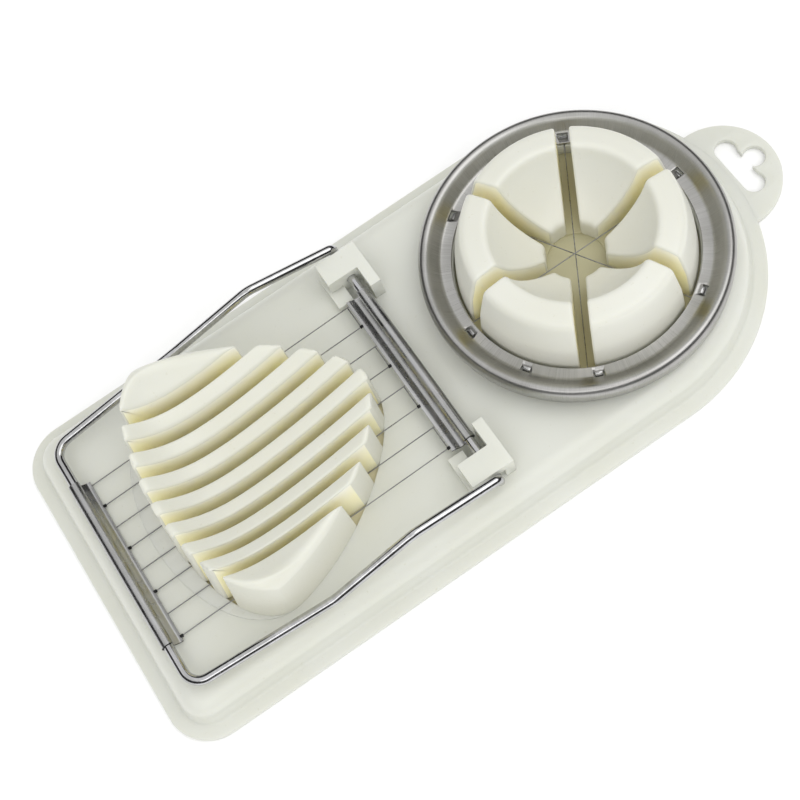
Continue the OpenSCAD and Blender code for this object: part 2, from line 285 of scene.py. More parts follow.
def moulded(name, top, deep=None, tint=(0.975, 0.972, 0.95), glow=0.15, low=None):
    """Satin moulded plastic. With deep, a slot's wall changes colour with its depth: painted light,
    brighter than the plastic and yellower further down, for light bounced inside the slot. With low,
    the colour changes with height: painted shade, yellower towards the foot."""
    m = Shader(name, Specular_IOR_Level=0.45, Subsurface_Weight=glow, Subsurface_Scale=0.004,
               Subsurface_Radius=(1.0, 0.95, 0.7))
    at = m.place()
    # painted shade: the colour goes from low at the foot to top higher up
    if low is not None:
        split = m.node("ShaderNodeSeparateXYZ")
        m.link(at, split.inputs["Vector"])
        base = m.ramp(m.range(split.outputs["Z"], *SHADE_SPAN, 0.0, 1.0), (0.0, low), (1.0, top))
    elif deep is None:
        base = m.ramp(m.noise(at, TONE, 1.0), (0.3, tuple(v * 0.985 for v in top)), (0.7, top))
    else:
        # painted light: from the ribs' top colour the wall turns brighter, then yellower with depth,
        # for light bounced inside the slot
        depth = m.node("ShaderNodeAttribute", attribute_name="depth")
        between = tuple(a * 0.6 + b * 0.4 for a, b in zip(top, deep))
        base = m.ramp(depth.outputs["Fac"], (0.0, SLOT_EDGE), (0.16, top), (0.4, between), (1.0, deep))
    flow = m.ramp(m.noise(at, FLOW, 2.0), (0.3, tint), (0.7, WHITE))
    fleck = m.ramp(m.noise(at, FLECK, 2.0), (0.22, (0.93, 0.92, 0.88)), (0.34, WHITE))
    satin = m.range(m.noise(at, SATIN, 3.0), 0.3, 0.7, 0.30, 0.42)
    m.bump([(m.noise(at, WAVES, 1.0), 0.12, 0.25), (m.noise(at, GRAIN, 2.0), 0.10, 0.03)])
    return m.finish(m.multiply(m.multiply(base, flow), fleck), satin)


def drawn_metal(name, light, dark, rough, along, scale=1.0, scratch=0.25):
    """Steel with fine marks that run along one axis."""
    m = Shader(name, 1.0)
    stretch = [ACROSS * scale] * 3
    stretch[along] = ALONG
    lines = m.noise(m.place(tuple(stretch)), 1.0, 4.0, 0.65)
    cloud = m.noise(m.place(), STAINS, 3.0)
    tone = m.ramp(lines, (0.3, dark), (0.7, light))
    stain = m.ramp(cloud, (0.35, (0.86, 0.86, 0.84)), (0.62, WHITE))
    m.bump([(lines, scratch, 0.02), (cloud, scratch * 0.4, 0.05)])
    return m.finish(m.multiply(tone, stain), m.range(cloud, 0.3, 0.7, rough * 0.75, rough * 1.35))


def spun_metal(name):
    """Brushed sheet of the ring: strokes that cross its edge all the way round, and faint circles."""
    m = Shader(name, 1.0)
    centre = m.place(at=(-WEDGE_X * MM, 0.0, 0.0))
    turn = m.node("ShaderNodeTexGradient", gradient_type="RADIAL")
    m.link(centre, turn.inputs["Vector"])
    split = m.node("ShaderNodeSeparateXYZ")
    m.link(centre, split.inputs["Vector"])
    around = m.node("ShaderNodeMath", {1: STROKES_ROUND}, operation="MULTIPLY")
    m.link(turn.outputs["Fac"], around.inputs[0])
    height = m.node("ShaderNodeMath", {1: STROKES_UP}, operation="MULTIPLY")
    m.link(split.outputs["Z"], height.inputs[0])
    both = m.node("ShaderNodeCombineXYZ")
    m.link(around.outputs[0], both.inputs["X"])
    m.link(height.outputs[0], both.inputs["Y"])
    strokes = m.noise(both.outputs["Vector"], 1.0, 4.0, 0.7)
    cloud = m.noise(centre, RING_STAINS, 3.0)
    tone = m.ramp(strokes, (0.3, (0.40, 0.395, 0.38)), (0.7, (0.52, 0.515, 0.50)))
    stain = m.ramp(cloud, (0.35, (0.86, 0.86, 0.85)), (0.65, WHITE))
    m.bump([(strokes, 0.25, 0.02), (cloud, 0.1, 0.08)])
    return m.finish(m.multiply(tone, stain), m.range(strokes, 0.3, 0.7, 0.26, 0.40))


CREAM = (0.655, 0.664, 0.606)
plastic = moulded("moulded_plastic", CREAM)
# petals and ribs: painted shade, yellower towards the foot, and on the ribs also darker
petal_plastic = moulded("petal_plastic", (0.69, 0.693, 0.63), low=(0.70, 0.69, 0.60))
rib_plastic = moulded("rib_plastic", (0.68, 0.684, 0.615), low=(0.655, 0.65, 0.56))
# slot walls: painted light, brighter than the plastic and yellower with depth, for light bounced inside
# the slots
painted_light_slot_wall = moulded("painted_light_slot_wall", (0.88, 0.87, 0.77), (0.96, 0.90, 0.62), glow=0.6)
# slot floors: painted shade, an olive-tinted copy of the cream plastic
shaded_slot_floor_plastic = moulded("slot_floor", (0.76, 0.71, 0.49))
# floor of the petals' well: painted shade, a dark olive copy of the plastic
shaded_cup_plastic = moulded("cup_floor", (0.52, 0.49, 0.31))
rod_steel = drawn_metal("polished_rod", (0.62, 0.62, 0.63), (0.50, 0.50, 0.51), 0.13, ALONG_Y,
                        scratch=0.12)
sheet_steel = spun_metal("pressed_sheet")
strip_steel = drawn_metal("folded_strip", (0.54, 0.54, 0.54), (0.42, 0.42, 0.42), 0.26, ALONG_Y,
                          scale=1.6, scratch=0.05)
wire_steel = drawn_metal("cutting_wire", (0.34, 0.34, 0.34), (0.20, 0.20, 0.20), 0.3, ALONG_X,
                         scale=2.0)
# painted shade: near-black steel for the shaded clamp ends and the wire holes
painted_shade_black = drawn_metal("painted_shade_black", (0.05, 0.05, 0.05), (0.02, 0.02, 0.02), 0.5, ALONG_Y)

# Only the wires keep their CAD meshes; finer pieces replace all the others.
for node in ("slicing_wire_1", "slicing_wire_2", "slicing_wire_3", "slicing_wire_4",
             "wedge_wire_1", "wedge_wire_2", "wedge_wire_3"):
    wire = bpy.data.objects[node]
    wire.data.materials.clear()
    wire.data.materials.append(wire_steel)

# ------------------------------------------------------------------ body and slicing cradle

WALL = 2.2  # thickness of the body's shell
SHOULDER_IN, SHOULDER_Z = 10.1, 4.8  # centre of the round shoulder: inset from the lip, height
SHOULDER_R, SHOULDER_INNER_R = 5.2, 3.0
# The lip and the foot of the wall, as (inset from the lip's edge, height).
LIP_PROFILE = [(0.35, 0.0), (0.1, 0.12), (0.0, 0.4), (0.0, 1.35), (0.12, 1.65), (0.45, LIP), (3.0, LIP),
               (3.6, 1.9), (3.95, 2.15), (4.12, 2.6)]

MOUND_X, MOUND_HALF = -67.0, 35.5  # the mound's widest line, and half its width there
MOUND_REAR, MOUND_FRONT = 48.2, 17.2  # its reach behind and in front of that line
EGG = (1.5, 0.65)  # exponents of the egg's plan behind that line
CURB, CURB_TOP, CURB_FOOT = 4.4, 10.5, 9.9  # the low step round its front: width, top and foot
MOUND_TOP, MOUND_FALL = 35.5, 7.6 / 65.4  # its top plane: height at the front, and slope
FRONT_LEAN = math.tan(math.radians(8))  # the front wall leans back here; the CAD's is upright
DISH_X, DISH_LOW, DISH_AXIS = -58.0, 19.3, 66.3  # the dish's lowest point, and the height of its axis
DISH_FRONT = (11.7, 22.4, 2.8)  # its rise in front of that point, over this length, and the exponent
DISH_REAR = (8.0, 37.5, 1.6)  # the same behind it
SLOT_FLOOR = 8.6
WIRE_PITCH, WIRE_COUNT = 7.0, 8
SLOT_HALF = 1.6
RIB_EDGE, RIB_SOFT, RIB_FOOT = 0.75, 0.7, 9.6  # rounding of side edges and outline; foot height
CREST_FRONT = MOUND_FRONT - 3.4  # reach of the line that the top's rounding is measured from
NOSE_SPAN = 10.0  # the front's rounding grows over this length
HORN_Y, HORN_SPAN = 20.0, 14.0  # the horns' rounding starts at this y and is full this much further
EDGE_R, NOSE_R, NOSE_HORN_R, HORN_R = 0.9, 1.4, 0.5, 3.8  # parts of the rounding's radius
RIB_SHADE = 9.0  # depth at which a slot's wall has its full painted-light colour


def plan_loop(inset, z, per_corner=14, per_end=112, per_side=24, per_front=14):
    """One level of the body's outline, drawn in from the lip's edge."""
    pts = []
    r = CORNER - inset
    cx, cy = FRONT + CORNER, HALF - CORNER
    pts += [(x, y, z) for x, y in arc2(ROUND_X, 0, HALF - inset, -90, 90, per_end)]
    xs = np.linspace(ROUND_X, cx, per_side + 1)[1:-1]
    pts += [(x, HALF - inset, z) for x in xs]
    pts += [(x, y, z) for x, y in arc2(cx, cy, r, 90, 180, per_corner)]
    ys = np.linspace(cy, -cy, per_front + 1)[1:-1]
    pts += [(FRONT + inset, y, z) for y in ys]
    pts += [(x, y, z) for x, y in arc2(cx, -cy, r, 180, 270, per_corner)]
    pts += [(x, inset - HALF, z) for x in xs[::-1]]
    return pts


def flat_with_holes(outer, holes, z, flip=False):
    """A flat face with holes, as triangles."""
    rows = [[Vector((x, y, z)) for x, y in outer]] + [[Vector((x, y, z)) for x, y in h] for h in holes]
    verts = [tuple(v) for row in rows for v in row]
    tris = tessellate_polygon(rows)
    return verts, [tuple(t)[::-1] if flip else tuple(t) for t in tris]


def mound_outline(front, n=60):
    """Plan of the egg-shaped mound: +Y half from the rear tip to the front, then the other half."""
    rear = []
    for i in range(n + 1):
        u = 1 - (1 - i / n) ** 1.6
        rear.append((MOUND_X + MOUND_REAR * u, MOUND_HALF * max(0.0, 1 - u ** EGG[0]) ** EGG[1]))
    lead = [(MOUND_X + front * math.cos(math.radians(a)), MOUND_HALF * math.sin(math.radians(a)))
            for a in np.linspace(90, 180, n // 2 + 1)[1:]]
    upper = rear[::-1] + lead
    lower = [(x, -y) for x, y in upper[-2:0:-1]]
    return upper + lower


CREST_LINE = np.array(mound_outline(CREST_FRONT, n=240))
CREST_LINE = np.vstack([CREST_LINE, CREST_LINE[:1]])


def shoulder(radius, first, count):
    """The round shoulder as (inset, height), from an angle in degrees up to the deck."""
    return [(SHOULDER_IN - radius * math.cos(math.radians(a)),
             SHOULDER_Z + radius * math.sin(math.radians(a))) for a in np.linspace(first, 90, count)]


def make_body():
    outer = LIP_PROFILE + [(4.12 + 0.78 * t, 2.6 + 2.2 * t) for t in (0.33, 0.66)]
    outer += shoulder(SHOULDER_R, 0, 15)
    rows = [plan_loop(i, z) for i, z in outer]
    inner = [(6.2, 0.0), (6.3, 2.0), (7.1, SHOULDER_Z)] + shoulder(SHOULDER_INNER_R, 10, 8)
    inner_rows = [plan_loop(i, z) for i, z in inner]
    top_loop = [(x, y) for x, y, _ in rows[-1]]
    mound = mound_outline(MOUND_FRONT)
    parts = [loft(inner_rows[::-1] + rows), flat_with_holes(top_loop, [mound], DECK)]
    # the ceiling of the hollow underside
    under = [(x, y) for x, y, _ in inner_rows[-1]]
    parts.append(flat_with_holes(under, [], DECK - WALL, flip=True))
    # sunk floor of the slots, with the short wall down to it
    parts.append(loft([[(x, y, DECK) for x, y in mound], [(x, y, SLOT_FLOOR) for x, y in mound]]))
    verts, faces = join(parts)
    return verts, faces, mound


def resample(points, n):
    pts = np.array(points, float)
    seg = np.hypot(*np.diff(pts, axis=0).T)
    at = np.concatenate([[0], np.cumsum(seg)])
    want = np.linspace(0, at[-1], n)
    return np.column_stack([np.interp(want, at, pts[:, k]) for k in (0, 1)])


def soften(points, radius):
    """Rounds the corners of an open line by averaging along it. Its ends stay."""
    pts = resample(points, max(24, int(path_length(points) / 0.2)))
    step = path_length(pts) / (len(pts) - 1)
    reach = max(1, int(round(radius / step)))
    kernel = np.hanning(2 * reach + 3)[1:-1]
    kernel /= kernel.sum()
    lead = 2 * pts[0] - pts[reach:0:-1]
    tail = 2 * pts[-1] - pts[-2:-reach - 2:-1]
    long = np.vstack([lead, pts, tail])
    out = np.column_stack([np.convolve(long[:, k], kernel, "valid") for k in (0, 1)])
    out[0], out[-1] = pts[0], pts[-1]
    return out


def path_length(points):
    return float(np.hypot(*np.diff(np.array(points, float), axis=0).T).sum())


def inward(points, amount):
    """Moves an open line to its right-hand side."""
    pts = np.array(points, float)
    t = np.gradient(pts, axis=0)
    t /= np.maximum(1e-9, np.hypot(t[:, 0], t[:, 1]))[:, None]
    return pts + amount * np.column_stack([t[:, 1], -t[:, 0]])


def mound_reach(y, front):
    """Where the mound starts and ends along X at a distance y from the middle."""
    u_line = np.linspace(0, 1, 4001)
    y_line = MOUND_HALF * np.maximum(0, 1 - u_line ** EGG[0]) ** EGG[1]
    u = np.interp(-abs(y), -y_line, u_line)
    rear = MOUND_X + MOUND_REAR * u
    lead = MOUND_X - front * math.sqrt(max(0.0, 1 - (y / MOUND_HALF) ** 2))
    return lead, rear


def dish_height(x):
    """Height of the dish along its middle."""
    x = np.asarray(x, float)
    rise, length, power = DISH_FRONT
    front = DISH_LOW + rise * (np.maximum(0, DISH_X - x) / length) ** power
    rise, length, power = DISH_REAR
    rear = DISH_LOW + rise * (np.maximum(0, x - DISH_X) / length) ** power
    return np.minimum(DISH_AXIS - 2, np.where(x < DISH_X, front, rear))


def top_height(x, y):
    """Height of the mound's top face: the dish, or the plane where that is lower."""
    r = DISH_AXIS - dish_height(x)
    dish = DISH_AXIS - np.sqrt(np.maximum(0, r * r - y * y))
    plane = MOUND_TOP - (x - MOUND_X + MOUND_FRONT) * MOUND_FALL
    return np.where(r > abs(y), np.minimum(dish, plane), plane)


def edge_drop(xs, y):
    """How far the round top edge of the mound falls below its top face."""
    away = np.hypot(xs[:, None] - CREST_LINE[None, :, 0], y - CREST_LINE[None, :, 1]).min(axis=1)
    away = np.where(xs < mound_reach(y, CREST_FRONT)[0], 0.0, away)
    side = min(1.0, max(0.0, (abs(y) - HORN_Y) / HORN_SPAN))
    front = np.clip((MOUND_X - xs) / NOSE_SPAN, 0.0, 1.0)
    horn = HORN_R * side * side * (3 - 2 * side)
    r = EDGE_R + np.maximum((NOSE_R + NOSE_HORN_R * side) * front, horn)
    return r - np.sqrt(np.maximum(0.0, r * r - np.maximum(0.0, r - away) ** 2))


def rib_outline(y, n=110):
    """The rib's outline at one y: up the front wall, over the dish and down the rear wall."""
    lead, rear = mound_reach(y, MOUND_FRONT)
    xs = lead + (rear - lead) * (1 - np.cos(np.linspace(0, math.pi, 320))) / 2
    zs = top_height(xs, y) - edge_drop(xs, y)
    wall = DECK + (xs - lead) / FRONT_LEAN
    zs = np.minimum(zs, np.maximum(DECK, wall))
    line = [(lead, RIB_FOOT)] + list(zip(xs, zs)) + [(rear, RIB_FOOT)]
    return resample(soften(line, RIB_SOFT), n)


def make_rib(y0, y1, horn=False):
    """Rows of a rib between two slot walls, or of a horn, which has a slot at y0 only."""
    fine = [*EDGE_STEPS, RIB_EDGE]
    stations = [(y0 + d, d) for d in fine]
    if horn:
        rest = y1 - y0 - RIB_EDGE
        stations += [(y0 + RIB_EDGE + rest * (1 - (1 - t) ** 2.4), RIB_EDGE)
                     for t in np.linspace(0, 1, 34)[1:]]
    else:
        stations += [((y0 + y1) / 2, RIB_EDGE)] + [(y1 - d, d) for d in fine[::-1]]
    rows = []
    for y, d in stations:
        line = rib_outline(y)
        if d < RIB_EDGE:
            line = inward(line, edge_inset(RIB_EDGE, d))
        rows.append([(x, y, z) for x, z in line])
    return rows


def wire_line(i):
    """The y of one slicing wire, which is the middle of its slot."""
    return WIRE_PITCH * ((WIRE_COUNT - 1) / 2 - i)


def make_ribs():
    parts = []
    for k in range(WIRE_COUNT - 1):
        parts.append(walled_loft(make_rib(wire_line(k + 1) + SLOT_HALF, wire_line(k) - SLOT_HALF)))
    # the horns stop just short of the mound's side, where their outline would shrink to nothing
    rows = make_rib(wire_line(0) + SLOT_HALF, MOUND_HALF - 0.02, horn=True)
    parts.append(walled_loft(rows, 0))
    parts.append(walled_loft([[(x, -y, z) for x, y, z in row] for row in rows], 0))
    return join_marked(parts)


# depth below the top face, which sets how much painted light a slot's wall gets
def rib_depth(x, y, z):
    return float(min(1.0, max(0.0, (float(top_height(x, y)) - z) / RIB_SHADE)))


verts, faces, mound_loop = make_body()
body = new_object("body_moulding", verts, faces, [plastic], smooth=50)
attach(body, "base")
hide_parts("body_shell")

# floor of the slots, in painted olive shade
floor_verts, floor_faces = flat_with_holes(mound_loop, [], SLOT_FLOOR)
slot_floor = new_object("slot_floor", floor_verts, floor_faces, [shaded_slot_floor_plastic])
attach(slot_floor, "base")

verts, faces, marks = make_ribs()
ribs = new_object("cradle_ribs", verts, faces, [rib_plastic, painted_light_slot_wall], smooth=60,
                  face_mats=marks, depth=rib_depth)
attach(ribs, "base")
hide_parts("slicing_cradle")


def make_step():
    """The low step round the front foot of the cradle: a crescent that thins out at both ends."""
    rows = []
    for a in np.radians(np.linspace(91, 269, 120)):
        inner = (MOUND_X + (MOUND_FRONT - 0.3) * math.cos(a), (MOUND_HALF - 0.2) * math.sin(a))
        outer = (MOUND_X + (MOUND_FRONT + CURB) * math.cos(a), MOUND_HALF * math.sin(a))
        mid = tuple(o + (i - o) * 0.06 for i, o in zip(inner, outer))
        rows.append([(*inner, CURB_FOOT), (*inner, CURB_TOP), (*mid, CURB_TOP),
                     (*outer, CURB_TOP - 0.2), (*outer, CURB_FOOT)])
    return loft(rows, cap_start=True, cap_end=True)


verts, faces = make_step()
step = new_object("cradle_step", verts, faces, [plastic], smooth=50)
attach(step, "base")

# ------------------------------------------------------------------ wedge cradle

PETAL_SLOT = 1.9  # half the width of a slot between two petals
PETAL_EDGE, PETAL_SOFT = 0.7, 2.0  # rounding of a petal's side edges and of its outline
PETAL_TOP = 32.5  # height of the crest
PETAL_SHADE = 10.0  # depth at which a slot's wall has its full painted-light colour
BOWL_R, BOWL_DEPTH, BOWL_Z = 22.6, 24.2, 40.0  # the bowl's ellipse and the height of its centre
WELL_R, WELL_FLOOR = 8.0, 10.2  # the well in the bowl's middle
# A petal's crest and outer wall, as (radius, height).
PETAL_LINE = [(22.0, 33.0), (27.9, 32.1), (28.7, 31.2), (31.1, 22.0), (31.9, 14.6), (31.9, WELL_FLOOR)]
SEAT_IN, SEAT_R, SEAT_Z = 32.5, 36.4, 14.6


def turned_mesh(profile, steps=192, closed_profile=False):
    """A profile of (radius, height) turned about the ring's axis."""
    rows = []
    for i in range(steps):
        a = 2 * math.pi * i / steps
        rows.append([(WEDGE_X + r * math.cos(a), r * math.sin(a), z) for r, z in profile])
    rows.append(rows[0])
    return loft(rows, closed=closed_profile)


def petal_outline(n=90):
    bowl = [(BOWL_R * math.cos(math.radians(a)), BOWL_Z - BOWL_DEPTH * math.sin(math.radians(a)))
            for a in np.linspace(69.3, 17.1, 30)]
    return resample(soften([(WELL_R, WELL_FLOOR)] + bowl + PETAL_LINE, PETAL_SOFT), n)


def make_petals():
    edge = PETAL_EDGE
    fine = [*EDGE_STEPS, edge]
    base = petal_outline()
    parts = []
    for k in range(6):
        mid = math.radians(30 + 60 * k)
        rows = []
        stations = [(-1, d) for d in fine] + [(t, None) for t in np.linspace(-0.92, 0.92, 15)]
        stations += [(1, d) for d in fine[::-1]]
        for side, d in stations:
            line = base
            if d is not None and d < edge:
                line = inward(base, edge_inset(edge, d))
            row = []
            for r, z in line:
                half = math.radians(30) - math.asin(min(1.0, PETAL_SLOT / r))
                turn = side * (half - edge / r) if d is None else side * (half - d / r)
                row.append((WEDGE_X + r * math.cos(mid + turn), r * math.sin(mid + turn), z))
            rows.append(row)
        parts.append(walled_loft(rows))
    return join_marked(parts)


# depth below the bowl or crest, which sets how much painted light a slot's wall gets
def petal_depth(x, y, z):
    r = math.hypot(x - WEDGE_X, y)
    bowl = BOWL_Z - BOWL_DEPTH * math.sqrt(max(0.0, 1 - (r / BOWL_R) ** 2))
    top = bowl if r < 21.5 else PETAL_TOP
    return min(1.0, max(0.0, (top - z) / PETAL_SHADE))


verts, faces, marks = make_petals()
petals = new_object("wedge_petals", verts, faces, [petal_plastic, painted_light_slot_wall], smooth=60,
                    face_mats=marks, depth=petal_depth)
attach(petals, "base")
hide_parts("wedge_cradle")

SEAT_PROFILE = [
    (SEAT_IN, 10.9), (SEAT_IN, SEAT_Z - 0.2), (32.7, SEAT_Z), (SEAT_R - 0.6, SEAT_Z),
    (SEAT_R - 0.15, SEAT_Z - 0.2), (SEAT_R, SEAT_Z - 0.6), (SEAT_R, DECK + 0.8),
    (SEAT_R + 0.2, DECK + 0.2), (SEAT_R + 0.6, DECK)]
verts, faces = turned_mesh(SEAT_PROFILE)
seat = new_object("ring_seat", verts, faces, [plastic], smooth=50)
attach(seat, "base")

# the well's floor and the ring under the petals, in painted shade
verts, faces = turned_mesh([(0.0, WELL_FLOOR), (WELL_R, WELL_FLOOR), (WELL_R, 10.8), (SEAT_IN, 10.8)])
petal_floor = new_object("petal_floor", verts, faces, [shaded_cup_plastic], smooth=50)
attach(petal_floor, "base")

# ------------------------------------------------------------------ cutter ring

LEDGE, RIM = 15.3, 19.3  # underside of the flat ledge, and top of the rolled rim
RING_IN, RING_OUT = 32.8, 41.5
SHEET = 0.6  # thickness of the sheet
TOP = LEDGE + SHEET
WINDOWS = (3.8, 60.4, 124.3, 183.5, 213.6, 244.5, 304.3)  # turn of each window, in degrees
WINDOW_IN, WINDOW_OUT, WINDOW_HALF = 34.35, 35.85, 1.4
# The sheet's section as (radius, height): over the top from the ledge's inner edge, and back below.
RING_OVER = [
    (RING_IN, LEDGE + 0.08), (RING_IN, TOP - 0.08), (RING_IN + 0.1, TOP), (35.3, TOP),
    (35.9, TOP + 0.15), (36.4, TOP + 0.55), (38.0, RIM - 1.05), (38.7, RIM - 0.35),
    (39.4, RIM - 0.03), (40.0, RIM), (40.6, RIM - 0.25), (41.1, RIM - 0.8), (41.4, RIM - 1.5),
    (RING_OUT, RIM - 2.2), (41.45, 15.6), (41.2, 13.6), (41.05, 13.42)]
RING_UNDER = [
    (40.7, 13.42), (40.6, 13.6), (40.85, 15.6), (40.9, RIM - 2.2), (40.7, RIM - 1.3),
    (40.2, RIM - 0.75), (39.7, RIM - 0.65), (39.2, RIM - 0.8), (38.6, RIM - 1.3), (36.8, TOP + 0.2),
    (36.4, LEDGE + 0.25), (35.8, LEDGE), (RING_IN + 0.1, LEDGE)]
BOX = [(3, 2, 1, 0), (4, 5, 6, 7), (0, 1, 5, 4), (1, 2, 6, 5), (2, 3, 7, 6), (3, 0, 4, 7)]


def on_ring(a, r, w, z):
    """A point at radius r and turn a, shifted sideways by w."""
    return WEDGE_X + r * math.cos(a) - w * math.sin(a), r * math.sin(a) + w * math.cos(a), z


def make_ring():
    verts, faces = turned_mesh(RING_OVER + RING_UNDER, 256, closed_profile=True)
    ring = new_object("ring_body", verts, faces, [sheet_steel], smooth=35)
    cutters = []
    for turn in WINDOWS:
        corners = ((WINDOW_IN, -WINDOW_HALF), (WINDOW_OUT, -WINDOW_HALF), (WINDOW_OUT, WINDOW_HALF),
                   (WINDOW_IN, WINDOW_HALF))
        pts = [on_ring(math.radians(turn), r, w, z) for z in (LEDGE - 1, LEDGE + 2) for r, w in corners]
        cutters.append((pts, BOX))
    cv, cf = join(cutters)
    tool = new_object("window_tool", cv, cf, [])
    cut = ring.modifiers.new("cut", "BOOLEAN")
    cut.object = tool
    cut.operation = "DIFFERENCE"
    cut.solver = "EXACT"
    bpy.context.view_layer.update()
    shape = bpy.data.meshes.new_from_object(ring.evaluated_get(bpy.context.evaluated_depsgraph_get()))
    ring.modifiers.clear()
    ring.data = shape
    bpy.data.objects.remove(tool)
    return ring


ring = make_ring()
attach(ring, "ring")
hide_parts("cutter_ring")

# ------------------------------------------------------------------ bow

ROD = 1.3  # the rod's radius
FRONT_BAR = (-97.8, 13.6)  # middle of the front bar, (x, z)
BAR_HALF = 38.3  # half the hinge bar's straight length
# Corners of the rod's +Y half, from the hinge bar to the front bar, and the bend at each but the first.
CORNERS = [
    (HINGE[0], BAR_HALF, HINGE[1]), (HINGE[0], 40.0, HINGE[1]), (HINGE[0] + 0.2, 40.0, HINGE[1] + 3.0),
    (-32.0, 40.8, 22.3), (-56.6, 41.2, 16.0), (FRONT_BAR[0], 38.2, FRONT_BAR[1])]
BENDS = [1.5, 1.5, 8.0, 10.0, 5.0]


def bend_points(before, corner, after, r, n=14):
    """Points of an arc of radius r that rounds one corner of a path."""
    before, corner, after = (Vector(p) for p in (before, corner, after))
    u, v = (before - corner).normalized(), (after - corner).normalized()
    half = (math.pi - u.angle(v)) / 2
    reach = r * math.tan(half)
    centre = corner + (u + v).normalized() * (r / math.cos(half))
    a, b = corner + u * reach - centre, corner + v * reach - centre
    turn = 2 * half
    return [centre + (a * math.sin((1 - i / n) * turn) + b * math.sin(i / n * turn)) / math.sin(turn)
            for i in range(n + 1)]


def bow_path():
    half = [Vector(CORNERS[0])]
    x, y, z = CORNERS[-1]
    line = CORNERS + [(x, -y, z)]
    for before, corner, after, r in zip(line, line[1:], line[2:], BENDS):
        half += bend_points(before, corner, after, r)
    return half + [Vector((p.x, -p.y, p.z)) for p in half[::-1]]


def tube(path, radius, sides=32, closed=False):
    """A round tube along a path."""
    path = [Vector(p) for p in path]
    last = len(path) - 1
    ways = []
    for i, p in enumerate(path):
        a = path[i - 1] if i > 0 else (path[-1] if closed else None)
        b = path[i + 1] if i < last else (path[0] if closed else None)
        way = Vector((0, 0, 0))
        if a is not None:
            way += (p - a).normalized()
        if b is not None:
            way += (b - p).normalized()
        ways.append(way.normalized())
    # the first side must not lie along the path, or the tube collapses
    side = Vector((0, 1, 0)) if abs(ways[0].x) > 0.9 else Vector((1, 0, 0))
    rows = []
    for p, way in zip(path, ways):
        side = (side - way * side.dot(way)).normalized()
        up = side.cross(way)
        rows.append([tuple(p + radius * (side * math.cos(t) + up * math.sin(t)))
                     for t in (2 * math.pi * k / sides for k in range(sides))])
    if closed:
        rows.append(rows[0])
        return loft(rows)
    return loft(rows, cap_start=True, cap_end=True)


verts, faces = tube(bow_path(), ROD, closed=True)
rod = new_object("bow_rod", verts, faces, [rod_steel], smooth=60)
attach(rod, "bow")
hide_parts("bow_frame", "hinge_bar")

# ------------------------------------------------------------------ wire clamps

CLAMP_HALF = 25.8  # half a clamp's length
STRIP = 0.45  # thickness of the strip
EYE_R = 0.42
FRONT_REACH, FRONT_WIRE = 3.4, 10.75  # the front clamp's wire edge: distance from the bar, height
REAR_REACH, REAR_WIRE = 5.2, 13.9  # the same for the rear clamp
# A window's tongue: radius of its root, length, height over the ledge, droop and thickness.
TONGUE_ROOT, TONGUE_LONG, TONGUE_UP, TONGUE_DROOP, TONGUE_THICK = 34.3, 1.2, 0.56, 0.85, 0.3
TONGUE_ROWS = ((-1.0, 0.1), (-0.8, 0.0), (0.8, 0.0), (1.0, 0.1))  # (sideways, how much lower)


def strip_section(centre_line):
    """Closed outline of a folded sheet round its middle line."""
    line = resample(centre_line, 90)
    left = inward(line, -STRIP / 2)
    right = inward(line, STRIP / 2)
    return [tuple(p) for p in left] + [tuple(p) for p in right[::-1]]


def clamp_line(edge):
    """Middle line of the folded strip: from the wire edge, through the trough and round the rod."""
    wrap = ROD + 0.05 + STRIP / 2
    trough = (edge[0] * 0.56, min(-wrap + 0.1, edge[1] * 0.7 - 0.5))
    line = [edge, (edge[0] - 0.9, edge[1] - 0.12), trough]
    line += [(wrap * math.cos(math.radians(a)), wrap * math.sin(math.radians(a)))
             for a in range(-75, -335, -6)]
    return soften(line, 0.5)


def make_clamp(name, axis, edge, flip, node):
    """A folded strip round the rod. axis is the rod's (x, z), and edge is its wire edge from there.
    With flip it points the other way along X."""
    section = strip_section(clamp_line(edge))
    sign = -1 if flip else 1
    rows = [[(axis[0] + sign * x, y, axis[1] + z) for x, z in section]
            for y in (-CLAMP_HALF, CLAMP_HALF)]
    verts, faces = loft(rows, cap_start=True, cap_end=True)
    # the strip's two end faces take the painted-shade black
    marks = [0] * (len(faces) - 2) + [1, 1]
    o = new_object(name, verts, faces, [strip_steel, painted_shade_black], smooth=35, face_mats=marks)
    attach(o, "bow")
    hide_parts(node)


make_clamp("clamp_front", FRONT_BAR, (FRONT_REACH, FRONT_WIRE - FRONT_BAR[1]), False,
           "front_wire_clamp")
make_clamp("clamp_rear", HINGE, (REAR_REACH, REAR_WIRE - HINGE[1]), True, "hinge_wire_clamp")


def make_eyes():
    """Black tubes in the clamps' edges at every other wire: painted shade for the holes the wires pass
    through.
    """
    parts = []
    edges = ((FRONT_BAR[0] + FRONT_REACH, FRONT_WIRE, 1), (HINGE[0] - REAR_REACH, REAR_WIRE, -1))
    for i in range(1, WIRE_COUNT, 2):
        y = wire_line(i)
        for x, z, way in edges:
            path = [(x - way * 0.2, y, z + 0.05), (x + way * 0.3, y, z + 0.05), (x + way * 0.7, y, z)]
            parts.append(tube(path, EYE_R, 16))
    return join(parts)


verts, faces = make_eyes()
eyes = new_object("wire_eyes", verts, faces, [painted_shade_black], smooth=50)
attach(eyes, "bow")


